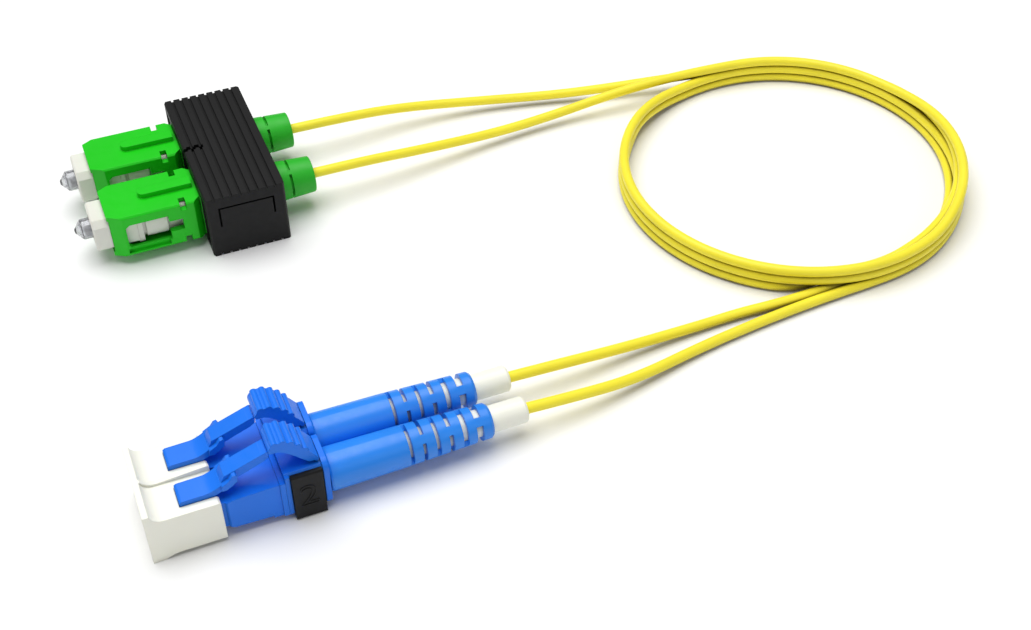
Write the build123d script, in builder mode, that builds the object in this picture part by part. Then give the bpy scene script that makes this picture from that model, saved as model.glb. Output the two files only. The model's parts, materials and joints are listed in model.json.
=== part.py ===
"""Duplex fibre patch cord: a pair of square push-pull plugs with green grip
housings at one end, a pair of small latched blue plugs at the other, and two
thin yellow cords between them that lie on the table in one flat coil.

Millimetres. +X runs along the plugs towards the coil, +Y across, +Z up.
The origin is on the table, under the middle of the two plug ends together.
"""
import os
from math import cos, radians, sin, tan

from build123d import *

os.makedirs("parts", exist_ok=True)

# ---------------------------------------------------------------- placement
SHIFT_X = -18.875           # front face of the green housings
SC_PITCH = 12.7            # between the two green plugs
LC_PITCH = 6.25            # between the two blue plugs
SC_MID_Y = 27.075
LC_MID_Y = -34.45
SC_H = 5.45                # height of the green plugs' axes over the table
LC_H = 4.10                # height of the blue plugs' axes

# ---------------------------------------------------------------- green plugs
HOUS_W = 9.0               # grip housing
HOUS_H = 7.4
HOUS_L = 14.1              # wide part
NECK_W = 7.7               # narrower rear, held in the clip
NECK_H = 6.9
NECK_END = 24.5
CAV_W = 7.0                # hollow for the plug frame
CAV_H = 6.0
KEY_W = 1.9
KEY_H = 0.8
FRAME_W = 6.8              # plug frame
FRAME_H = 5.8
FRAME_FRONT = -2.3
FER_R = 1.25               # 2.5 mm ferrule
FER_TIP = -3.4
APC_DEG = 8.0              # angled end face
CHAMBER_R = 1.95
CLIP_X0, CLIP_X1 = 14.2, 26.5
CLIP_W = 27.6
CLIP_HT = 10.9
CLIP_WALL = 24.6           # where the clip's rear wall starts
BOOT_R0, BOOT_R1 = 3.20, 2.88
BOOT_END = 32.5

# ---------------------------------------------------------------- blue plugs
NOSE = 4.52                # square nose
NOSE_FRONT = -3.6
LFER_R = 0.625             # 1.25 mm ferrule
LFER_TIP = -5.6
LBODY_END = 10.9
LCLIP_X0, LCLIP_X1 = 11.6, 15.7
LBOOT_X0, LBOOT_X1 = 16.75, 39.4
LBOOT_R0, LBOOT_R1 = 2.95, 2.42
SLEEVE_R = 1.88
SLEEVE_X0, SLEEVE_X1 = 22.4, 44.6
LATCH_PIVOT = (-1.5, 2.72)     # x, z from the plug's axis
TRIG_PIVOT = (15.45, 4.75)

# ---------------------------------------------------------------- cords
CORD_D = 1.6
CORD_R = CORD_D / 2
COIL_X, COIL_Y = 88.07, -2.39     # middle of the coil on the table
COIL_LONG = 29.6               # half the coil's outer size across the view
COIL_SHORT = 28.05             # half of it the other way
COIL_IN_LONG = 26.4            # the same two for the open middle
COIL_IN_SHORT = 26.45
COIL_TURN = 66.95              # direction of the longer half axis, degrees
COIL_LOW = 3 * CORD_D          # three turns high on the side towards the plugs
COIL_HIGH = 4 * CORD_D         # four where the turns cross

# routes of the four tails, from a plug to the coil
ROUTES = {
    "sc_tail_outer": [(13.625, 33.425, 5.45), (22.125, 33.625, 5.2), (33.125, 34.825, 3.7),
                      (47.125, 33.925, 1.9), (60.0, 31.2, 1.5), (68.5, 29.0, 2.0),
                      (77.5, 27.35, 2.35), (85.2, 26.2, 2.4)],
    "sc_tail_inner": [(13.625, 20.725, 5.45), (22.125, 21.025, 5.2), (33.125, 22.325, 3.6),
                      (47.125, 24.125, 1.9), (58.5, 25.1, 2.0), (68.0, 25.15, 3.2),
                      (76.5, 25.0, 3.85), (84.0, 24.75, 4.0)],
    "lc_tail_inner": [(25.725, -31.325, 4.1), (34.125, -31.175, 3.5), (44.125, -30.375, 2.0),
                      (57.125, -29.5, 0.84), (63.7, -29.35, 0.82), (69.3, -29.7, 0.82),
                      (75.1, -29.74, 0.82), (79.9, -29.45, 0.82)],
    "lc_tail_outer": [(25.725, -37.575, 4.1), (33.125, -37.475, 3.4), (43.125, -36.275, 1.7),
                      (55.125, -33.475, 0.84), (65.0, -32.2, 0.82), (71.0, -31.66, 0.82),
                      (75.0, -31.36, 0.82), (80.0, -31.08, 0.82), (84.9, -30.93, 0.82)],
}


def ring(r_out, r_in, x0, x1):
    """A plain tube along X, cut out of nothing else."""
    with BuildPart() as tube:
        with BuildSketch(Plane.YZ.offset(x0)):
            Circle(r_out)
            if r_in > 0:
                Circle(r_in, mode=Mode.SUBTRACT)
        extrude(amount=x1 - x0)
    return tube.part


def turned(points):
    """A turned piece: half-section points (x, r) spun about the X axis."""
    with BuildPart() as piece:
        with BuildSketch(Plane.XZ):
            with BuildLine():
                Polyline(*points, close=True)
            make_face()
        revolve(axis=Axis.X)
    return piece.part


# =========================================================== green plug pieces
# grip housing: square sleeve with a key on top, open windows in both sides
with BuildPart() as sc_housing:
    with BuildSketch(Plane.XY.offset(-HOUS_H / 2)):
        with BuildLine():
            Polyline((0, -(HOUS_W / 2 - 1.1)), (2.0, -HOUS_W / 2), (13.0, -HOUS_W / 2),
                     (HOUS_L, -(HOUS_W / 2 - 1.05)), (HOUS_L, HOUS_W / 2 - 1.05),
                     (13.0, HOUS_W / 2), (2.0, HOUS_W / 2), (0, HOUS_W / 2 - 1.1), close=True)
        make_face()
    extrude(amount=HOUS_H)
    chamfer(sc_housing.edges().filter_by(Axis.X).filter_by(lambda e: e.length > 10), length=0.25)
    with Locations(((HOUS_L + NECK_END) / 2, 0, 0)):
        Box(NECK_END - HOUS_L, NECK_W, NECK_H)
    with BuildSketch(Plane.XY.offset(HOUS_H / 2 - 0.1)):        # raised key
        with Locations(((5.45 + KEY_W / 2 + 13.6) / 2, 0)):
            Rectangle(13.6 - 5.45 - KEY_W / 2, KEY_W)
        with Locations((5.45 + KEY_W / 2, 0)):
            Circle(KEY_W / 2)
    extrude(amount=KEY_H + 0.1)
    with Locations(((NECK_END - 1) / 2, 0, 0)):                 # hollow
        Box(NECK_END + 3, CAV_W, CAV_H, mode=Mode.SUBTRACT)
    # side windows: a wide front part and a narrow rear part
    with BuildSketch(Plane.XZ.offset(-HOUS_W)):
        with BuildLine():
            Polyline((2.4, -1.9), (3.0, -2.4), (8.9, -2.4), (8.9, -0.95), (11.0, -0.95),
                     (11.0, 1.0), (8.9, 1.0), (8.9, 2.1), (3.0, 2.1), (2.4, 1.6), close=True)
        make_face()
    extrude(amount=2 * HOUS_W, mode=Mode.SUBTRACT)
    for side in (-1, 1):                                        # sunk land under the window
        with Locations((5.4, side * (HOUS_W / 2 - 0.1), -2.75)):
            Box(6.4, 0.8, 0.9, mode=Mode.SUBTRACT)
        for edge in (-1, 1):                                    # small slots at the long edges
            with Locations((11.4, side * 3.85, edge * (HOUS_H / 2 - 0.45))):
                Box(0.95, 1.9, 1.5, mode=Mode.SUBTRACT)

# plug frame: the fixed inner body that carries the ferrule
with BuildPart() as sc_plug_frame:
    with Locations(((FRAME_FRONT + 4.2) / 2, 0, 0)):
        Box(4.2 - FRAME_FRONT, FRAME_W, FRAME_H)
    chamfer(sc_plug_frame.edges().filter_by(Axis.X), length=0.95)
    chamfer(sc_plug_frame.faces().sort_by(Axis.X)[0].edges(), length=0.25)
    # stepped middle with well rounded long edges
    for x0, x1, w, h, r in ((4.1, 5.0, 6.6, 5.5, 0.7), (4.9, 5.6, 5.9, 4.9, 1.8),
                            (5.5, 8.8, 6.6, 5.5, 2.3), (8.7, 12.5, 5.7, 4.4, 1.3)):
        with BuildSketch(Plane.YZ.offset(x0)):
            RectangleRounded(w, h, r)
        extrude(amount=x1 - x0)
    with BuildSketch(Plane.YZ.offset(10.95)):                   # guide plate behind the edge slots
        RectangleRounded(FRAME_W, FRAME_H, 0.75)
    extrude(amount=0.9)
    with BuildSketch(Plane.YZ.offset(FRAME_FRONT)):
        Circle(2.05)
    extrude(amount=2.0 - FRAME_FRONT, mode=Mode.SUBTRACT)
    with BuildSketch(Plane.YZ.offset(1.0)):
        Circle(FER_R + 0.05)
    extrude(amount=6.0, mode=Mode.SUBTRACT)
    with BuildSketch(Plane.YZ.offset(4.95)):
        Circle(CHAMBER_R)
    extrude(amount=9.0, mode=Mode.SUBTRACT)

# zirconia ferrule with an angled end face
with BuildPart() as sc_ferrule:
    with BuildSketch(Plane.YZ.offset(FER_TIP - 0.2)):
        Circle(FER_R)
    extrude(amount=6.0 - FER_TIP + 0.2)
    chamfer(sc_ferrule.edges().sort_by(Axis.X)[0], length=0.45)
    split(bisect_by=Plane(origin=(FER_TIP, 0, 0),
                          z_dir=(cos(radians(APC_DEG)), 0, sin(radians(APC_DEG)))), keep=Keep.TOP)

# flange pressed on the ferrule's rear end, with a tail inside the spring
with BuildPart() as sc_ferrule_flange:
    add(turned([(5.0, FER_R), (5.0, 1.85), (6.6, 1.85), (6.6, 1.2), (10.4, 1.2), (10.4, 0.5),
                (6.0, 0.5), (6.0, FER_R)]))

# spring that pushes the ferrule forward
with BuildPart() as sc_spring:
    with BuildLine() as sc_coil:
        Helix(pitch=0.992, height=4.96, radius=1.55, center=(6.82, 0, 0), direction=(1, 0, 0))
    with BuildSketch(Plane(origin=sc_coil.line @ 0, z_dir=sc_coil.line % 0)):
        Circle(0.2)
    sweep(is_frenet=True)

# stop body behind the spring, which also takes the crimp
with BuildPart() as sc_stop_body:
    add(turned([(12.0, 0.55), (12.0, 1.9), (12.55, 1.9), (12.55, 2.8), (15.4, 2.8), (15.4, 2.1),
                (21.2, 2.1), (21.2, 0.55)]))

# crimp ring over the cord's yarn
with BuildPart() as sc_crimp_ring:
    add(turned([(15.6, 2.11), (15.6, 2.4), (21.6, 2.4), (22.4, 1.3), (24.0, 1.3), (24.0, 0.82),
                (21.4, 0.82), (21.4, 2.11)]))

# buffered fibre through the stop body
with BuildPart() as sc_fibre:
    add(ring(0.45, 0, 11.8, 24.0))

# rubber boot with one broken ring slot
with BuildPart() as sc_boot:
    add(turned([(15.7, 2.42), (15.7, 2.9), (26.2, 2.9), (26.2, BOOT_R0), (BOOT_END - 0.12, BOOT_R1),
                (BOOT_END, BOOT_R1 - 0.12), (BOOT_END, 0.82), (24.1, 0.82), (24.1, 1.35),
                (22.5, 1.35), (21.7, 2.42)]))
    with BuildSketch(Plane.YZ.offset(28.5)):
        Circle(4.0)
        Circle(2.35, mode=Mode.SUBTRACT)
        with PolarLocations(3.0, 4, start_angle=33):
            Rectangle(2.4, 0.7, mode=Mode.SUBTRACT)
    extrude(amount=0.4, mode=Mode.SUBTRACT)

# clear dust cap on the ferrule
with BuildPart() as sc_dust_cap:
    add(turned([(-4.75, 0), (-4.75, 0.3), (-3.75, 1.52), (-3.5, 1.6), (1.4, 1.6), (1.4, 1.27),
                (-3.55, 1.27), (-3.85, 0.9), (-3.85, 0)]))

# clip that joins the two grip housings, ribbed above and below
with BuildPart() as sc_duplex_clip:
    with Locations(((CLIP_X0 + CLIP_X1) / 2, 0, 0)):
        Box(CLIP_X1 - CLIP_X0, CLIP_W, CLIP_HT)
    chamfer(sc_duplex_clip.edges().filter_by(Axis.Z), length=0.3)
    chamfer(sc_duplex_clip.faces().sort_by(Axis.X)[0].edges().filter_by(Axis.Y), length=0.2)
    for face in (-1, 1):                                        # grooves across
        for k in range(8):
            with Locations((CLIP_X0 + 1.36 * (k + 1), 0, face * CLIP_HT / 2)):
                Box(0.36, CLIP_W + 1, 0.7, mode=Mode.SUBTRACT)
    for y in (-SC_PITCH / 2, SC_PITCH / 2):
        with Locations(((CLIP_X0 + CLIP_WALL) / 2 - 1, y, 0)):
            Box(CLIP_WALL - CLIP_X0 + 2, NECK_W + 0.04, NECK_H + 0.04, mode=Mode.SUBTRACT)
        with BuildSketch(Plane.YZ.offset(CLIP_WALL - 1)):
            with Locations((y, 0)):
                Circle(3.35)
        extrude(amount=6, mode=Mode.SUBTRACT)
    with Locations((CLIP_X0 + 4.9, 0, 0)):                      # hollow between the two plugs
        Box(12.0, 3.4, 7.6, mode=Mode.SUBTRACT)
    for side in (-1, 1):                                        # hollow behind the snap tabs
        with Locations((CLIP_X0 + 4.9, side * 11.75, 0)):
            Box(12.0, 2.1, 8.2, mode=Mode.SUBTRACT)
        with Locations((16.15, side * 13.4, 1.75)):             # snap tab, cut on three sides
            Box(0.28, 1.8, 3.5, mode=Mode.SUBTRACT)
        with Locations((24.55, side * 13.4, 1.9)):
            Box(0.28, 1.8, 3.2, mode=Mode.SUBTRACT)
        with Locations((20.35, side * 13.4, 3.4)):
            Box(8.68, 1.8, 0.28, mode=Mode.SUBTRACT)
    # short stepped seam where the two halves of the clip snap shut
    for k, off in enumerate((-0.22, 0.12, -0.1, 0.22, 0.0)):
        with Locations((CLIP_X0 + 0.3 + 0.62 * k, off, CLIP_HT / 2 - 0.5)):
            Box(0.72, 0.8, 1.5, mode=Mode.SUBTRACT)

# =========================================================== blue plug pieces
# body with the square nose
with BuildPart() as lc_body:
    with BuildSketch(Plane.XZ.offset(-2.6)):
        with BuildLine():
            Polyline((3.2, -NOSE / 2), (4.0, -2.5), (8.9, -2.7), (8.9, -3.05), (LBODY_END, -3.05),
                     (LBODY_END, 2.95), (10.2, 2.95), (10.2, 2.8), (4.2, 2.6), (3.2, NOSE / 2),
                     close=True)
        make_face()
    extrude(amount=5.2)
    chamfer(lc_body.faces().sort_by(Axis.X)[0].edges().filter_by(Axis.Z), length=0.3)
    with Locations(((NOSE_FRONT + 3.4) / 2, 0, 0)):
        Box(3.4 - NOSE_FRONT, NOSE, NOSE)
    chamfer(lc_body.faces().sort_by(Axis.X)[0].edges(), length=0.2)
    with Locations((10.55, 0, 0)):                              # rear collar
        Box(0.7, 5.7, 6.1)
    with BuildSketch(Plane.YZ.offset(NOSE_FRONT)):
        Circle(1.62)
    extrude(amount=2.6, mode=Mode.SUBTRACT)
    with BuildSketch(Plane.YZ.offset(-2.0)):
        Circle(LFER_R + 0.04)
    extrude(amount=4.0, mode=Mode.SUBTRACT)
    with BuildSketch(Plane.YZ.offset(0.95)):
        Circle(1.5)
    extrude(amount=12.0, mode=Mode.SUBTRACT)

with BuildPart() as lc_ferrule:
    with BuildSketch(Plane.YZ.offset(LFER_TIP)):
        Circle(LFER_R)
    extrude(amount=2.0 - LFER_TIP)
    chamfer(lc_ferrule.edges().sort_by(Axis.X)[0], length=0.2)

with BuildPart() as lc_ferrule_flange:
    add(turned([(1.0, LFER_R), (1.0, 1.4), (2.4, 1.4), (2.4, 0.78), (6.6, 0.78), (6.6, 0.5),
                (2.0, 0.5), (2.0, LFER_R)]))

with BuildPart() as lc_spring:
    with BuildLine() as lc_coil:
        Helix(pitch=0.876, height=5.26, radius=1.12, center=(2.57, 0, 0), direction=(1, 0, 0))
    with BuildSketch(Plane(origin=lc_coil.line @ 0, z_dir=lc_coil.line % 0)):
        Circle(0.15)
    sweep(is_frenet=True)

# rear body: stop for the spring, seat for the clip, flange with the trigger's root
with BuildPart() as lc_rear_body:
    add(turned([(8.0, 0.52), (8.0, 1.48), (LBODY_END + 0.02, 1.48), (LBODY_END + 0.02, 2.2),
                (16.6, 2.2), (16.6, 1.5), (20.6, 1.5), (20.6, 0.52)]))
    with Locations(((LBODY_END + 0.02 + 16.3) / 2, 0, 0.8)):    # tall block, open on top in the clip
        Box(16.3 - LBODY_END - 0.02, 5.2, 6.6)
    chamfer(lc_rear_body.faces().sort_by(Axis.Z)[-1].edges().filter_by(Axis.X), length=0.45)
    with Locations(((LBODY_END + 0.02 + 11.5) / 2, 0, 0.45)):   # front collar
        Box(11.5 - LBODY_END - 0.02, 5.7, 7.0)
    with BuildSketch(Plane.YZ.offset(15.85)):                   # rear flange
        with Locations((0, 0.65)):
            RectangleRounded(6.05, 8.0, 1.4)
    extrude(amount=0.75)
    with BuildSketch(Plane.YZ.offset(8.0)):
        Circle(0.52)
    extrude(amount=14.0, mode=Mode.SUBTRACT)

# trigger: ribbed curved lever that reaches forward over the latch
with BuildPart() as lc_trigger:
    with BuildSketch(Plane.XZ.offset(-1.9)):
        with BuildLine():
            l1 = Spline((15.72, 5.0), (15.05, 5.95), (14.15, 7.15), (13.35, 8.15), (12.45, 8.98),
                        (11.35, 9.5))
            l2 = ThreePointArc(l1 @ 1, (10.15, 9.35), (9.62, 8.6))
            l3 = Line(l2 @ 1, (9.6, 8.3))
            l4 = Line(l3 @ 1, (9.8, 8.12))
            l5 = Line(l4 @ 1, (10.4, 8.12))
            l6 = Spline(l5 @ 1, (11.05, 7.95), (11.9, 7.36), (12.9, 6.38), (13.8, 5.4), (14.45, 4.75))
            l7 = Line(l6 @ 1, (15.35, 4.7))
            l8 = Line(l7 @ 1, l1 @ 0)
        make_face()
    extrude(amount=3.8)
    with Locations((TRIG_PIVOT[0], 0, TRIG_PIVOT[1])):          # rounded root
        Cylinder(0.28, 3.8, rotation=(90, 0, 0))
    # broad grip ribs across the lever
    for x, z in ((10.45, 9.3), (11.5, 9.28), (12.5, 8.77), (13.38, 7.95), (14.15, 6.97)):
        with Locations((x, 0, z)):
            Cylinder(0.46, 3.8, rotation=(90, 0, 0))

# latch: sprung arm from the top of the nose
with BuildPart() as lc_latch:
    with BuildSketch(Plane.XZ.offset(-1.6)):                    # front plate
        with BuildLine():
            p1 = Polyline((-2.1, 2.72), (-2.1, 3.75), (-1.8, 3.98), (1.2, 4.05))
            p2 = Spline(p1 @ 1, (2.36, 4.34), (3.3, 4.87), tangents=((1, 0.02), (1, 0.75)))
            p3 = Line(p2 @ 1, (3.95, 4.25))
            p4 = Spline(p3 @ 1, (2.6, 3.42), (1.2, 3.12), tangents=((-1, -0.75), (-1, -0.02)))
            p5 = Polyline(p4 @ 1, (-0.95, 3.1), (-1.08, 2.72), (-2.1, 2.72))
        make_face()
    extrude(amount=3.2)
    with Locations((LATCH_PIVOT[0], 0, LATCH_PIVOT[1])):        # rounded root
        Cylinder(0.42, 3.2, rotation=(90, 0, 0))
    with BuildSketch(Plane.XZ.offset(-1.85)):                   # shoulder lugs
        with BuildLine():
            Polyline((3.15, 4.0), (3.3, 4.8), (4.3, 5.4), (4.8, 6.1), (5.2, 6.2), (5.38, 5.9),
                     (5.3, 5.0), (4.6, 4.4), (3.8, 3.9), close=True)
        make_face()
    extrude(amount=3.7)
    with BuildSketch(Plane.XZ.offset(-1.18)):                   # narrower arm, a step higher
        with BuildLine():
            Polyline((3.25, 4.6), (3.87, 5.82), (8.85, 7.68), (9.13, 7.64), (9.28, 7.42),
                     (9.23, 6.7), (9.03, 6.45), (4.3, 4.5), (3.6, 4.2), close=True)
        make_face()
    extrude(amount=2.36)

# crimp sleeve behind the rear body
with BuildPart() as lc_crimp_sleeve:
    add(turned([(16.8, 1.51), (16.8, 1.86), (20.9, 1.86), (21.2, 1.3), (22.2, 1.3), (22.2, 0.82),
                (20.8, 0.82), (20.8, 1.51)]))

with BuildPart() as lc_fibre:
    add(ring(0.45, 0, 7.9, 22.2))

# white inner sleeve that shows through the boot's slots and past its end
with BuildPart() as lc_inner_sleeve:
    add(turned([(SLEEVE_X0, 0.82), (SLEEVE_X0, SLEEVE_R), (SLEEVE_X1 - 0.3, SLEEVE_R - 0.02),
                (SLEEVE_X1, SLEEVE_R - 0.25), (SLEEVE_X1, 0.82)]))

# slotted boot
with BuildPart() as lc_boot:
    add(turned([(LBOOT_X0, 1.9), (LBOOT_X0, LBOOT_R0 - 0.15), (LBOOT_X0 + 0.3, LBOOT_R0),
                (26.6, LBOOT_R0 - 0.12), (LBOOT_X1 - 0.35, LBOOT_R1 + 0.02), (LBOOT_X1, LBOOT_R1 - 0.25),
                (LBOOT_X1, 1.9)]))
    for k, (x, w) in enumerate(((27.5, 0.5), (29.35, 0.5), (31.2, 0.55), (33.05, 0.6),
                                (34.95, 0.75), (36.9, 0.95))):
        with BuildSketch(Plane.YZ.offset(x)):
            Circle(3.6)
            Circle(1.7, mode=Mode.SUBTRACT)
            with PolarLocations(2.6, 2, start_angle=90 * (k % 2) + 38):
                Rectangle(2.6, 1.25, mode=Mode.SUBTRACT)
        extrude(amount=w, mode=Mode.SUBTRACT)

# clip that holds the two blue plugs side by side
with BuildPart() as lc_duplex_clip:
    with Locations(((LCLIP_X0 + LCLIP_X1) / 2, 0, -0.02)):
        Box(LCLIP_X1 - LCLIP_X0, LC_PITCH + 6.6, 2 * LC_H - 0.04)
    chamfer(lc_duplex_clip.edges().filter_by(Axis.X), length=0.2)
    for y in (-LC_PITCH / 2, LC_PITCH / 2):                     # two seats, open at the top
        with Locations(((LCLIP_X0 + LCLIP_X1) / 2, y, -2.52 + 4.0)):
            Box(6.0, 5.24, 8.0, mode=Mode.SUBTRACT)
    with Locations(((LCLIP_X0 + LCLIP_X1) / 2, 0, 2.4 + 2.0)):  # lower wall between them
        Box(6.0, 1.4, 4.0, mode=Mode.SUBTRACT)

# one white dust cap over both noses
with BuildPart() as lc_dust_cap:
    with BuildSketch(Plane.XZ.offset(-6.1)):
        with BuildLine():
            Line((-6.85, -4.1), (-6.85, 4.6))
            Line((-6.85, 4.6), (-6.05, 4.6))
            ThreePointArc((-6.05, 4.6), (-5.5, 3.7), (-4.3, 3.25))
            Line((-4.3, 3.25), (2.45, 3.25))
            Line((2.45, 3.25), (2.7, 3.0))
            Line((2.7, 3.0), (2.7, -3.45))
            Line((2.7, -3.45), (-3.1, -3.45))
            ThreePointArc((-3.1, -3.45), (-4.3, -3.62), (-5.2, -4.1))
            Line((-5.2, -4.1), (-6.85, -4.1))
        make_face()
    extrude(amount=12.2)
    with BuildSketch(Plane.XZ.offset(-0.28)):                   # thin ridge between the halves
        with BuildLine():
            Line((-6.5, 2.0), (-6.5, 4.6))
            Line((-6.5, 4.6), (-5.9, 4.6))
            ThreePointArc((-5.9, 4.6), (-5.25, 3.95), (-4.1, 3.55))
            Line((-4.1, 3.55), (2.45, 4.05))
            Line((2.45, 4.05), (2.7, 3.8))
            Line((2.7, 3.8), (2.7, 2.0))
            Line((2.7, 2.0), (-6.5, 2.0))
        make_face()
    extrude(amount=0.56)
    for y in (-LC_PITCH / 2, LC_PITCH / 2):
        with Locations(((-3.75 + 4.0) / 2, y, 0)):
            Box(7.75, NOSE + 0.08, NOSE + 0.08, mode=Mode.SUBTRACT)
        with Locations(((-2.16 + 4.0) / 2, y, 2.8)):            # slot for the latch's root
            Box(6.16, 3.32, 2.4, mode=Mode.SUBTRACT)
        with BuildSketch(Plane.YZ.offset(-6.1)):
            with Locations((y, 0)):
                Circle(0.95)
        extrude(amount=3.0, mode=Mode.SUBTRACT)

# =========================================================== place and write
SC_Y = {1: SC_MID_Y - SC_PITCH / 2, 2: SC_MID_Y + SC_PITCH / 2}     # 1 is the nearer one
LC_Y = {1: LC_MID_Y - LC_PITCH / 2, 2: LC_MID_Y + LC_PITCH / 2}

for n in (1, 2):
    for label, piece in (("sc_housing", sc_housing), ("sc_plug_frame", sc_plug_frame),
                         ("sc_ferrule", sc_ferrule), ("sc_ferrule_flange", sc_ferrule_flange),
                         ("sc_spring", sc_spring), ("sc_stop_body", sc_stop_body),
                         ("sc_crimp_ring", sc_crimp_ring), ("sc_fibre", sc_fibre),
                         ("sc_boot", sc_boot), ("sc_dust_cap", sc_dust_cap)):
        with BuildPart() as placed:
            with Locations((SHIFT_X, SC_Y[n], SC_H)):
                add(piece.part)
        placed.part.label = f"{label}_{n}"
        export_step(placed.part, f"parts/{label}_{n}.step")
    for label, piece in (("lc_body", lc_body), ("lc_ferrule", lc_ferrule),
                         ("lc_ferrule_flange", lc_ferrule_flange), ("lc_spring", lc_spring),
                         ("lc_rear_body", lc_rear_body), ("lc_trigger", lc_trigger),
                         ("lc_latch", lc_latch), ("lc_crimp_sleeve", lc_crimp_sleeve),
                         ("lc_fibre", lc_fibre), ("lc_inner_sleeve", lc_inner_sleeve),
                         ("lc_boot", lc_boot)):
        with BuildPart() as placed:
            with Locations((SHIFT_X, LC_Y[n], LC_H)):
                add(piece.part)
        placed.part.label = f"{label}_{n}"
        export_step(placed.part, f"parts/{label}_{n}.step")

for label, piece, y, z in (("sc_duplex_clip", sc_duplex_clip, SC_MID_Y, SC_H),
                           ("lc_duplex_clip", lc_duplex_clip, LC_MID_Y, LC_H),
                           ("lc_dust_cap", lc_dust_cap, LC_MID_Y, LC_H)):
    with BuildPart() as placed:
        with Locations((SHIFT_X, y, z)):
            add(piece.part)
    placed.part.label = label
    export_step(placed.part, f"parts/{label}.step")

# =========================================================== cords
# outer shape of the coil: turns stacked three high, four where they cross on the far side
with BuildPart() as cord_coil:
    with BuildSketch(Plane(origin=(COIL_X, COIL_Y, 0),
                           x_dir=(cos(radians(COIL_TURN)), sin(radians(COIL_TURN)), 0), z_dir=(0, 0, 1))):
        Ellipse(COIL_LONG, COIL_SHORT)
        Ellipse(COIL_IN_LONG, COIL_IN_SHORT, mode=Mode.SUBTRACT)
    extrude(amount=COIL_HIGH)
    side = Plane(origin=(COIL_X, COIL_Y, 0),
                 x_dir=(sin(radians(COIL_TURN)), -cos(radians(COIL_TURN)), 0),
                 z_dir=(-cos(radians(COIL_TURN)), -sin(radians(COIL_TURN)), 0))
    with BuildSketch(side.offset(-40)):
        with BuildLine():
            Polyline((-40, COIL_LOW), (4, COIL_LOW), (21, COIL_HIGH), (40, COIL_HIGH), (40, 12),
                     (-40, 12), close=True)
        make_face()
    extrude(amount=80, mode=Mode.SUBTRACT)
cord_coil.part.label = "cord_coil"
export_step(cord_coil.part, "parts/cord_coil.step")


def bend_radii(points):
    """Radius at each inner point: as large as its two runs allow."""
    radii = []
    for a, b, c in zip(points, points[1:], points[2:]):
        v, w = Vector(*b) - Vector(*a), Vector(*c) - Vector(*b)
        turn = radians(v.get_angle(w))
        radii.append(0.45 * min(v.length, w.length) / tan(turn / 2))
    return radii


for label, points in ROUTES.items():
    radii = bend_radii(points)
    with BuildPart() as tail:
        with BuildLine() as path:
            FilletPolyline(*points, radius=radii)
        with BuildSketch(Plane(origin=path.line @ 0, z_dir=path.line % 0)):
            Circle(CORD_R)
        sweep()
    tail.part.label = label
    export_step(tail.part, f"parts/{label}.step")
    length = sum(edge.length for edge in path.line.edges())
    print(label, "length", round(length, 2), "radii", [round(r, 1) for r in radii],
          "volume ratio", round(tail.part.volume / (3.14159265 * CORD_R ** 2 * length), 4))
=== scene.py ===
import json
import math
import bpy
from mathutils import Matrix, Vector


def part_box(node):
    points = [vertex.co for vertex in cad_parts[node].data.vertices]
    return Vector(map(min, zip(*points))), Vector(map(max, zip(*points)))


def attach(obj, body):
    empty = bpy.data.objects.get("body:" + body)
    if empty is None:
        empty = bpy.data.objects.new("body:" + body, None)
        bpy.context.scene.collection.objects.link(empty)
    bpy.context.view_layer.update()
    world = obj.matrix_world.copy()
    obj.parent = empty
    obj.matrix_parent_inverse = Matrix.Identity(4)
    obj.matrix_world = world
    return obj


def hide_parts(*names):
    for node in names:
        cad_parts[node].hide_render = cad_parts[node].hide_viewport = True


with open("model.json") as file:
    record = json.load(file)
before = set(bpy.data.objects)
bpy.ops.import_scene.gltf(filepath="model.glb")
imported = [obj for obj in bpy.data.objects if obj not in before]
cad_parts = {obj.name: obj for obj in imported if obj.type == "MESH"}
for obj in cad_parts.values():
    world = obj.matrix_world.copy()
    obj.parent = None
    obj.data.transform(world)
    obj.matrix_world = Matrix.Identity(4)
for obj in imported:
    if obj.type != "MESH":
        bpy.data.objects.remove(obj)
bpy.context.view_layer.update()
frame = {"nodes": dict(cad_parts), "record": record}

MM = 0.001
nodes = frame["nodes"]
scene = bpy.context.scene

# ------------------------------------------------------------------ camera
# angle and lens fitted to the two plug ends in the photograph
cam_data = bpy.data.cameras.new("camera")
cam_data.sensor_fit = "HORIZONTAL"
cam_data.sensor_width = 36.0
cam_data.lens = 36.0 * 1404.97 / 1031.0
cam_data.clip_start = 0.005
cam_data.clip_end = 20.0
cam = bpy.data.objects.new("camera", cam_data)
scene.collection.objects.link(cam)
yaw, pitch, roll = math.radians(23.0534), math.radians(43.7841), math.radians(0.4866)
fwd = Vector((math.sin(yaw) * math.cos(pitch), math.cos(yaw) * math.cos(pitch), -math.sin(pitch)))
right = Vector((math.cos(yaw), -math.sin(yaw), 0.0))
up = right.cross(fwd)
r2 = right * math.cos(roll) + up * math.sin(roll)
u2 = up * math.cos(roll) - right * math.sin(roll)
rot = Matrix((r2, u2, -fwd)).transposed()
cam.matrix_world = Matrix.Translation(Vector((-6.645 - 18.875, -175.307 + 20.725, 143.978)) * MM) @ rot.to_4x4()
scene.camera = cam

scene.view_settings.view_transform = "Standard"
scene.view_settings.look = "None"


# ------------------------------------------------------------------ materials
def new_material(name):
    m = bpy.data.materials.new(name)
    m.use_nodes = True
    nt = m.node_tree
    nt.nodes.clear()
    out = nt.nodes.new("ShaderNodeOutputMaterial")
    bsdf = nt.nodes.new("ShaderNodeBsdfPrincipled")
    nt.links.new(bsdf.outputs["BSDF"], out.inputs["Surface"])
    tex = nt.nodes.new("ShaderNodeTexCoord")
    return m, nt, bsdf, tex


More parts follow.
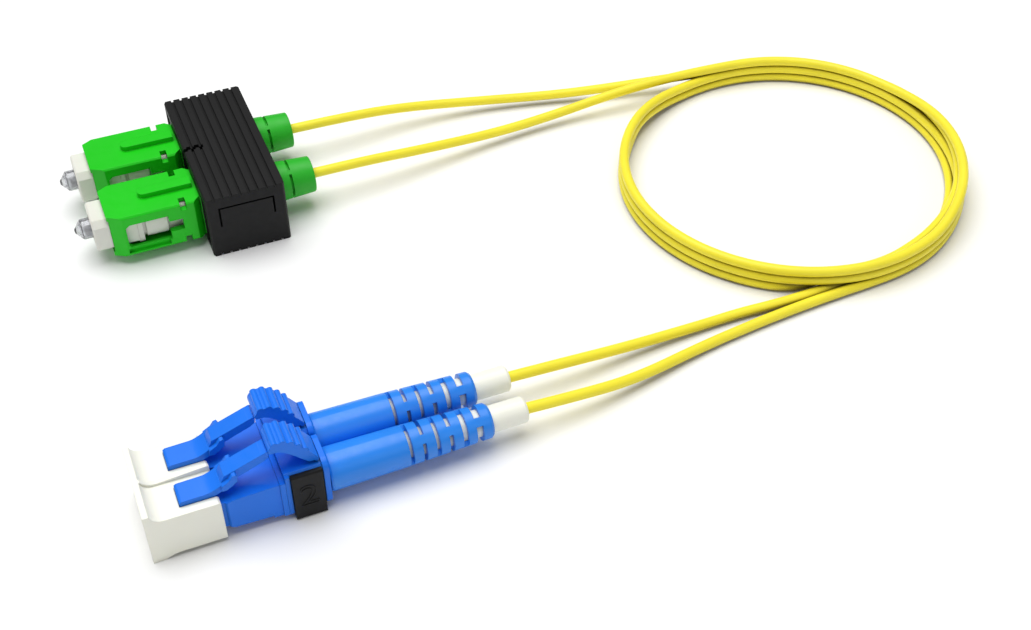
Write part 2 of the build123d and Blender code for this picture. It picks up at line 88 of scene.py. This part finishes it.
def noise(nt, tex, scale, detail=3.0, rough=0.55, stretch=None):
    src = tex.outputs["Object"]
    if stretch:
        mapping = nt.nodes.new("ShaderNodeMapping")
        mapping.inputs["Scale"].default_value = stretch
        nt.links.new(src, mapping.inputs["Vector"])
        src = mapping.outputs["Vector"]
    n = nt.nodes.new("ShaderNodeTexNoise")
    n.inputs["Scale"].default_value = scale
    n.inputs["Detail"].default_value = detail
    n.inputs["Roughness"].default_value = rough
    nt.links.new(src, n.inputs["Vector"])
    return n


def ramp(nt, fac, stops):
    r = nt.nodes.new("ShaderNodeValToRGB")
    r.color_ramp.elements[0].position = stops[0][0]
    r.color_ramp.elements[0].color = (*stops[0][1], 1)
    r.color_ramp.elements[1].position = stops[-1][0]
    r.color_ramp.elements[1].color = (*stops[-1][1], 1)
    for pos, col in stops[1:-1]:
        e = r.color_ramp.elements.new(pos)
        e.color = (*col, 1)
    nt.links.new(fac, r.inputs["Fac"])
    return r


def remap(nt, value, lo, hi):
    mr = nt.nodes.new("ShaderNodeMapRange")
    mr.inputs["From Min"].default_value = 0.3
    mr.inputs["From Max"].default_value = 0.7
    mr.inputs["To Min"].default_value = lo
    mr.inputs["To Max"].default_value = hi
    nt.links.new(value, mr.inputs["Value"])
    return mr


def bump(nt, height, bsdf, strength, distance):
    b = nt.nodes.new("ShaderNodeBump")
    b.inputs["Strength"].default_value = strength
    b.inputs["Distance"].default_value = distance
    nt.links.new(height, b.inputs["Height"])
    nt.links.new(b.outputs["Normal"], bsdf.inputs["Normal"])
    return b


def moulded(name, color, rough=0.34, spread=0.06, shade=0.9, grain=4200, grain_depth=0.0000016,
            spec=0.5, coat=0.0, sss=0.0, edge=0.00012, painted_shade_color=None, painted_shade_reach=0.0012):
    """A moulded plastic or rubber: slow tone drift, uneven gloss, a fine mould grain, and painted shade where the
    surface is closed in when a shade colour is given.
    """
    m, nt, bsdf, tex = new_material(name)
    slow = noise(nt, tex, 130, 2.0)
    dark = tuple(c * shade for c in color)
    col = ramp(nt, slow.outputs["Fac"], [(0.32, dark), (0.66, color)])
    tone = col.outputs["Color"]
    if painted_shade_color:                       # painted shade: base colour darkened where the surface is closed in
        ao = nt.nodes.new("ShaderNodeAmbientOcclusion")
        ao.samples = 8
        ao.inputs["Distance"].default_value = painted_shade_reach
        painted_shade_ramp = ramp(nt, ao.outputs["AO"], [(0.18, painted_shade_color), (0.72, (1.0, 1.0, 1.0))])
        painted_shade_mix = nt.nodes.new("ShaderNodeMix")
        painted_shade_mix.data_type = "RGBA"
        painted_shade_mix.blend_type = "MULTIPLY"
        painted_shade_mix.inputs["Factor"].default_value = 1.0
        nt.links.new(tone, painted_shade_mix.inputs[6])
        nt.links.new(painted_shade_ramp.outputs["Color"], painted_shade_mix.inputs[7])
        tone = painted_shade_mix.outputs[2]
    nt.links.new(tone, bsdf.inputs["Base Color"])
    gloss = noise(nt, tex, 900, 3.0)
    rr = remap(nt, gloss.outputs["Fac"], rough - spread, rough + spread)
    nt.links.new(rr.outputs["Result"], bsdf.inputs["Roughness"])
    fine = noise(nt, tex, grain, 2.0, 0.5)
    b = bump(nt, fine.outputs["Fac"], bsdf, 0.35, grain_depth)
    if edge:
        soft = nt.nodes.new("ShaderNodeBevel")
        soft.samples = 4
        soft.inputs["Radius"].default_value = edge
        nt.links.new(soft.outputs["Normal"], b.inputs["Normal"])
    bsdf.inputs["Specular IOR Level"].default_value = spec
    bsdf.inputs["Coat Weight"].default_value = coat
    bsdf.inputs["Coat Roughness"].default_value = 0.12
    if sss:
        bsdf.inputs["Subsurface Weight"].default_value = sss
        bsdf.inputs["Subsurface Radius"].default_value = (1.0, 0.8, 0.6)
        bsdf.inputs["Subsurface Scale"].default_value = 0.0006
    return m


def metal(name, color, rough=0.28, along=(1.0, 14.0, 14.0)):
    m, nt, bsdf, tex = new_material(name)
    brushed = noise(nt, tex, 900, 4.0, 0.6, along)
    rr = remap(nt, brushed.outputs["Fac"], rough - 0.08, rough + 0.1)
    nt.links.new(rr.outputs["Result"], bsdf.inputs["Roughness"])
    col = ramp(nt, brushed.outputs["Fac"], [(0.3, tuple(c * 0.86 for c in color)), (0.7, color)])
    nt.links.new(col.outputs["Color"], bsdf.inputs["Base Color"])
    bsdf.inputs["Metallic"].default_value = 1.0
    bump(nt, brushed.outputs["Fac"], bsdf, 0.25, 0.000004)
    return m


def clear(name, tint, rim, rough=0.05):
    """Clear moulding: haze in the gloss, and a wall that looks darker where it is seen edge on."""
    m, nt, bsdf, tex = new_material(name)
    haze = noise(nt, tex, 700, 3.0)
    rr = remap(nt, haze.outputs["Fac"], rough, rough + 0.08)
    nt.links.new(rr.outputs["Result"], bsdf.inputs["Roughness"])
    face = nt.nodes.new("ShaderNodeLayerWeight")
    face.inputs["Blend"].default_value = 0.42
    col = ramp(nt, face.outputs["Facing"], [(0.15, tint), (0.55, tuple((a + b) / 2 for a, b in zip(tint, rim))), (0.9, rim)])
    nt.links.new(col.outputs["Color"], bsdf.inputs["Base Color"])
    bsdf.inputs["Transmission Weight"].default_value = 0.88
    bsdf.inputs["IOR"].default_value = 1.49
    return m


# Several materials below get a second colour of painted shade, which darkens their base colour in grooves, recesses and
# between parts.
MAT = {
    "green_plastic": moulded("green_plastic", (0.008, 0.600, 0.006), 0.38, shade=0.94, spec=0.28,
                             painted_shade_color=(0.55, 0.60, 0.55)),
    "green_rubber": moulded("green_rubber", (0.014, 0.480, 0.014), 0.46, shade=0.9, grain=2600,
                            grain_depth=0.000004, spec=0.4),
    "off_white_plastic": moulded("off_white_plastic", (0.80, 0.795, 0.72), 0.38, shade=0.965, sss=0.1,
                                 painted_shade_color=(0.55, 0.54, 0.52)),
    "white_ceramic": moulded("white_ceramic", (0.90, 0.90, 0.885), 0.12, 0.03, 0.985, coat=0.4),
    "bright_metal": metal("bright_metal", (0.74, 0.73, 0.70)),
    "spring_steel": metal("spring_steel", (0.60, 0.60, 0.61), 0.22),
    "fibre_buffer": moulded("fibre_buffer", (0.88, 0.88, 0.86), 0.3),
    "clear_plastic": clear("clear_plastic", (0.86, 0.87, 0.90), (0.10, 0.10, 0.11)),
    "blue_plastic": moulded("blue_plastic", (0.010, 0.192, 0.900), 0.34, shade=0.94, spec=0.27,
                            painted_shade_color=(0.5, 0.72, 0.5)),
    "blue_rubber": moulded("blue_rubber", (0.014, 0.250, 0.900), 0.36, shade=0.93, grain=2600,
                           grain_depth=0.000003, spec=0.5),
    "white_plastic": moulded("white_plastic", (0.960, 0.960, 0.845), 0.36, shade=0.98, sss=0.1,
                             painted_shade_color=(0.60, 0.60, 0.54)),
    "black_plastic": moulded("black_plastic", (0.0070, 0.0070, 0.0072), 0.52, 0.06, 0.8, grain=3000,
                             grain_depth=0.000006, spec=0.22, painted_shade_color=(0.3, 0.3, 0.3), painted_shade_reach=0.0008),
    # The yellow jacket's painted shade darkens the grooves between the coil's turns.
    "yellow_jacket": moulded("yellow_jacket", (1.0, 0.872, 0.045), 0.42, 0.05, 0.95, grain=1800,
                             grain_depth=0.000004, spec=0.35, edge=0.0, painted_shade_color=(0.26, 0.23, 0.18),
                             painted_shade_reach=0.0026),
}

slot_of = {s["node"]: s["material_slot"] for s in frame["record"]["subparts"]}
for name, obj in nodes.items():
    mat = MAT[slot_of[name]]
    if obj.material_slots:
        for s in obj.material_slots:
            s.material = mat
    else:
        obj.data.materials.append(mat)

# ------------------------------------------------------------------ cords
# Control points in millimetres: the tails' routes, then the turns in the coil. The turns lie
# in one stack three high; on the far side two more lie just behind it, and they cross over at
# the coil's right-hand end.
CORD_D = 1.6

outer_sc = [(13.625, 33.425, 5.45), (22.125, 33.625, 5.2), (33.125, 34.825, 3.7), (47.125, 33.925, 1.9),
            (60.0, 31.2, 1.5), (68.5, 29.0, 2.0), (77.5, 27.35, 2.35)]
inner_sc = [(13.625, 20.725, 5.45), (22.125, 21.025, 5.2), (33.125, 22.325, 3.6), (47.125, 24.125, 1.9),
            (58.5, 25.1, 2.0), (68.0, 25.15, 3.2), (76.5, 25.0, 3.85), (84.0, 24.75, 4.0)]
inner_lc = [(86.8, -29.13, 0.82), (83.4, -29.27, 0.82), (79.9, -29.45, 0.82), (75.1, -29.74, 0.82),
            (69.3, -29.7, 0.82), (63.7, -29.35, 0.82), (57.125, -29.5, 0.84), (44.125, -30.375, 2.0),
            (34.125, -31.175, 3.5), (25.725, -31.325, 4.1)]
outer_lc = [(84.9, -30.93, 0.82), (80.0, -31.08, 0.82), (75.0, -31.36, 0.82), (71.0, -31.66, 0.82),
            (65.0, -32.2, 0.82), (55.125, -33.475, 0.84), (43.125, -36.275, 1.7), (33.125, -37.475, 3.4),
            (25.725, -37.575, 4.1)]
outer_turns = [
    (87.79, 25.95, 2.40), (92.90, 25.85, 2.40), (97.96, 24.83, 2.40), (102.79, 22.85, 2.40),
    (107.17, 19.96, 2.40), (110.90, 16.25, 2.48), (113.76, 11.85, 2.86), (115.63, 6.98, 3.21),
    (116.46, 1.90, 3.52), (116.31, -3.15, 3.76), (115.28, -8.01, 3.92), (113.48, -12.51, 4.00),
    (111.02, -16.59, 3.98), (108.03, -20.17, 3.87), (104.57, -23.20, 3.67), (100.74, -25.65, 3.40),
    (96.60, -27.49, 3.07), (92.24, -28.66, 2.71), (89.55, -29.05, 2.48), (86.83, -29.17, 2.40),
    (84.10, -29.01, 2.39), (81.40, -28.56, 2.25), (79.18, -27.97, 1.83), (76.88, -27.50, 0.82),
    (73.87, -27.14, 0.82), (71.22, -25.85, 0.82), (67.80, -23.06, 0.82), (64.57, -19.34, 0.82),
    (62.08, -15.08, 0.82), (60.43, -10.43, 0.82), (59.69, -5.56, 0.82), (59.89, -0.67, 0.82),
    (60.98, 4.07, 0.82), (62.90, 8.49, 0.82), (65.50, 12.49, 0.82), (68.45, 16.22, 0.82),
    (71.81, 19.69, 0.82), (75.81, 22.56, 0.82), (80.37, 24.55, 0.82), (85.26, 25.68, 0.82),
    (90.34, 26.01, 0.82), (95.45, 25.45, 0.82), (100.42, 23.96, 0.82), (105.05, 21.52, 0.82),
    (109.13, 18.20, 0.82), (112.47, 14.14, 0.82), (114.94, 9.52, 0.82), (116.49, 4.54, 0.82),
    (117.06, -0.59, 0.82), (116.59, -5.68, 0.82), (115.20, -10.51, 0.82), (113.06, -14.95, 0.82),
    (110.30, -18.94, 0.82), (107.03, -22.43, 0.82), (103.35, -25.43, 0.82), (99.28, -27.89, 0.82),
    (94.84, -29.63, 0.82), (90.14, -30.59, 0.82),
]
inner_turns = [
    (90.19, 24.41, 4.00), (95.03, 23.90, 4.00), (99.74, 22.50, 4.00), (104.13, 20.21, 4.00),
    (107.99, 17.07, 4.00), (111.15, 13.22, 4.00), (113.49, 8.84, 4.00), (114.94, 4.13, 4.34),
    (115.50, -0.73, 4.89), (115.22, -5.56, 5.30), (114.17, -10.23, 5.54), (112.39, -14.64, 5.60),
    (109.96, -18.71, 5.47), (106.93, -22.33, 5.16), (103.34, -25.42, 4.69), (99.28, -27.89, 4.09),
    (94.84, -29.63, 4.00), (90.14, -30.59, 4.00), (85.32, -30.73, 4.00), (80.53, -30.01, 4.00),
    (75.92, -28.47, 4.00), (71.63, -26.13, 4.00), (67.80, -23.06, 4.00), (64.57, -19.34, 4.00),
    (62.08, -15.08, 4.00), (60.43, -10.43, 4.00), (59.69, -5.56, 4.00), (59.89, -0.67, 4.00),
    (60.98, 4.07, 4.00), (62.90, 8.49, 4.00), (65.51, 12.48, 4.00), (68.70, 15.96, 3.96),
    (72.37, 18.89, 3.68), (76.41, 21.26, 3.12), (80.78, 23.00, 2.57), (85.40, 24.08, 2.40),
    (90.19, 24.41, 2.40), (95.03, 23.90, 2.40), (99.74, 22.50, 2.40), (104.13, 20.21, 2.40),
    (107.99, 17.07, 2.40), (111.15, 13.22, 2.40), (113.49, 8.84, 2.40), (114.94, 4.13, 2.40),
    (115.50, -0.73, 2.40), (115.22, -5.56, 2.40), (114.17, -10.23, 2.40), (112.39, -14.64, 2.40),
    (109.96, -18.71, 2.40), (106.93, -22.33, 2.40), (103.34, -25.42, 2.40), (99.28, -27.89, 2.40),
    (94.84, -29.63, 2.40), (90.14, -30.59, 2.40), (85.32, -30.73, 2.40), (80.53, -30.01, 2.40),
    (75.92, -28.47, 2.40), (71.63, -26.13, 2.40), (67.80, -23.06, 2.40), (64.57, -19.34, 2.40),
    (62.08, -15.08, 2.40), (60.43, -10.43, 2.40), (59.69, -5.56, 2.40), (59.89, -0.67, 2.40),
    (60.98, 4.07, 2.40), (62.90, 8.49, 2.40), (65.51, 12.48, 2.40), (68.70, 15.96, 2.36),
    (72.37, 18.89, 2.08), (76.41, 21.26, 1.52), (80.78, 23.00, 0.97), (85.40, 24.08, 0.82),
    (90.19, 24.41, 0.82), (95.03, 23.90, 0.82), (99.74, 22.50, 0.82), (104.13, 20.21, 0.82),
    (107.99, 17.07, 0.82), (111.15, 13.22, 0.82), (113.49, 8.84, 0.82), (114.94, 4.13, 0.82),
    (115.46, -0.73, 0.82), (114.99, -5.54, 0.82), (113.65, -10.09, 0.82), (111.60, -14.27, 0.82),
    (108.98, -18.02, 0.82), (105.90, -21.30, 0.82), (102.43, -24.11, 0.82), (98.60, -26.43, 0.82),
    (94.42, -28.08, 0.82), (90.00, -28.99, 0.82),
]


def cord(name, points):
    curve = bpy.data.curves.new(name, "CURVE")
    curve.dimensions = "3D"
    spline = curve.splines.new("NURBS")
    spline.points.add(len(points) - 1)
    for p, (x, y, z) in zip(spline.points, points):
        p.co = (x * MM, y * MM, z * MM, 1.0)
    spline.order_u = 3
    spline.use_endpoint_u = True
    spline.resolution_u = 8
    curve.bevel_depth = CORD_D / 2 * MM
    curve.bevel_resolution = 6
    curve.use_fill_caps = True
    obj = bpy.data.objects.new(name, curve)
    scene.collection.objects.link(obj)
    obj.data.materials.append(MAT["yellow_jacket"])
    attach(obj, "cord_set")
    return obj


outer_pts = outer_sc + outer_turns + outer_lc
inner_pts = inner_sc + inner_turns + inner_lc
outer = cord("cord_outer", outer_pts)
inner = cord("cord_inner", inner_pts)
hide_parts("sc_tail_outer", "lc_tail_outer", "cord_coil")
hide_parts("sc_tail_inner", "lc_tail_inner")

# ------------------------------------------------------------------ numerals
def numeral(text, y, facing):
    """Outlined numeral moulded proud on a side of the small clip."""
    lo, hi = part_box("lc_duplex_clip")
    curve = bpy.data.curves.new("numeral_" + text, "FONT")
    curve.body = text
    curve.size = 5.2 * MM
    curve.fill_mode = "NONE"
    curve.bevel_depth = 0.09 * MM
    curve.bevel_resolution = 2
    curve.resolution_u = 6
    curve.align_x = "CENTER"
    curve.align_y = "CENTER"
    obj = bpy.data.objects.new("numeral_" + text, curve)
    scene.collection.objects.link(obj)
    obj.location = ((lo[0] + hi[0]) / 2, y, (lo[2] + hi[2]) / 2)
    obj.rotation_euler = (math.radians(90), 0, 0 if facing < 0 else math.radians(180))
    obj.data.materials.append(MAT["black_plastic"])
    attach(obj, "cord_set")
    return obj


clip_lo, clip_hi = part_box("lc_duplex_clip")
numeral("2", clip_lo[1], -1)
numeral("1", clip_hi[1], 1)

# ------------------------------------------------------------------ latch tips
def latch_tip(n):
    """Rounded end of the latch's arm, which reaches just under the trigger's nose."""
    lo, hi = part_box("lc_latch_%d" % n)
    x0, z0, y = hi[0] - 9.28 * MM, lo[2] - 2.30 * MM, (lo[1] + hi[1]) / 2
    half = 1.175 * MM
    outline = [(8.60, 7.57), (9.42, 7.874), (9.58, 7.86), (9.67, 7.74), (9.68, 7.62), (9.62, 7.0),
               (9.55, 6.84), (9.40, 6.72), (8.60, 6.30)]
    verts = [(x0 + x * MM, y + side * half, z0 + z * MM) for side in (-1, 1) for x, z in outline]
    k = len(outline)
    faces = [tuple(range(k)), tuple(range(2 * k - 1, k - 1, -1))]
    faces += [(i, k + i, k + (i + 1) % k, (i + 1) % k) for i in range(k)]
    mesh = bpy.data.meshes.new("lc_latch_tip_%d" % n)
    mesh.from_pydata(verts, [], faces)
    mesh.validate()
    obj = bpy.data.objects.new("lc_latch_tip_%d" % n, mesh)
    scene.collection.objects.link(obj)
    obj.data.materials.append(MAT["blue_plastic"])
    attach(obj, "lc_latch_%d" % n)
    return obj


latch_tip(1)
latch_tip(2)

# ------------------------------------------------------------------ floor and light
floor_mesh = bpy.data.meshes.new("floor")
floor_mesh.from_pydata([(-3, -3, -0.00002), (3, -3, -0.00002), (3, 3, -0.00002), (-3, 3, -0.00002)], [], [(0, 1, 2, 3)])
floor = bpy.data.objects.new("floor", floor_mesh)
scene.collection.objects.link(floor)
fm, fnt, fb, ftex = new_material("pale_floor")
fb.inputs["Base Color"].default_value = (0.95, 0.95, 0.95, 1)
fb.inputs["Roughness"].default_value = 0.8
fb.inputs["Specular IOR Level"].default_value = 0.2
floor.data.materials.append(fm)

world = bpy.data.worlds.new("studio")
scene.world = world
world.use_nodes = True
bg = world.node_tree.nodes["Background"]
bg.inputs["Color"].default_value = (1, 1, 1, 1)
bg.inputs["Strength"].default_value = 0.24


def area(name, loc, target, size, power):
    d = bpy.data.lights.new(name, "AREA")
    d.shape = "DISK"
    d.size = size
    d.energy = power
    o = bpy.data.objects.new(name, d)
    scene.collection.objects.link(o)
    o.location = loc
    o.rotation_euler = (Vector(target) - Vector(loc)).to_track_quat("-Z", "Y").to_euler()
    return o


area("overhead", (-0.05, 0.14, 0.80), (0.03, 0, 0), 0.9, 7.6)
area("front", (0.25, -0.75, 0.55), (0.04, 0, 0), 0.6, 0.6)
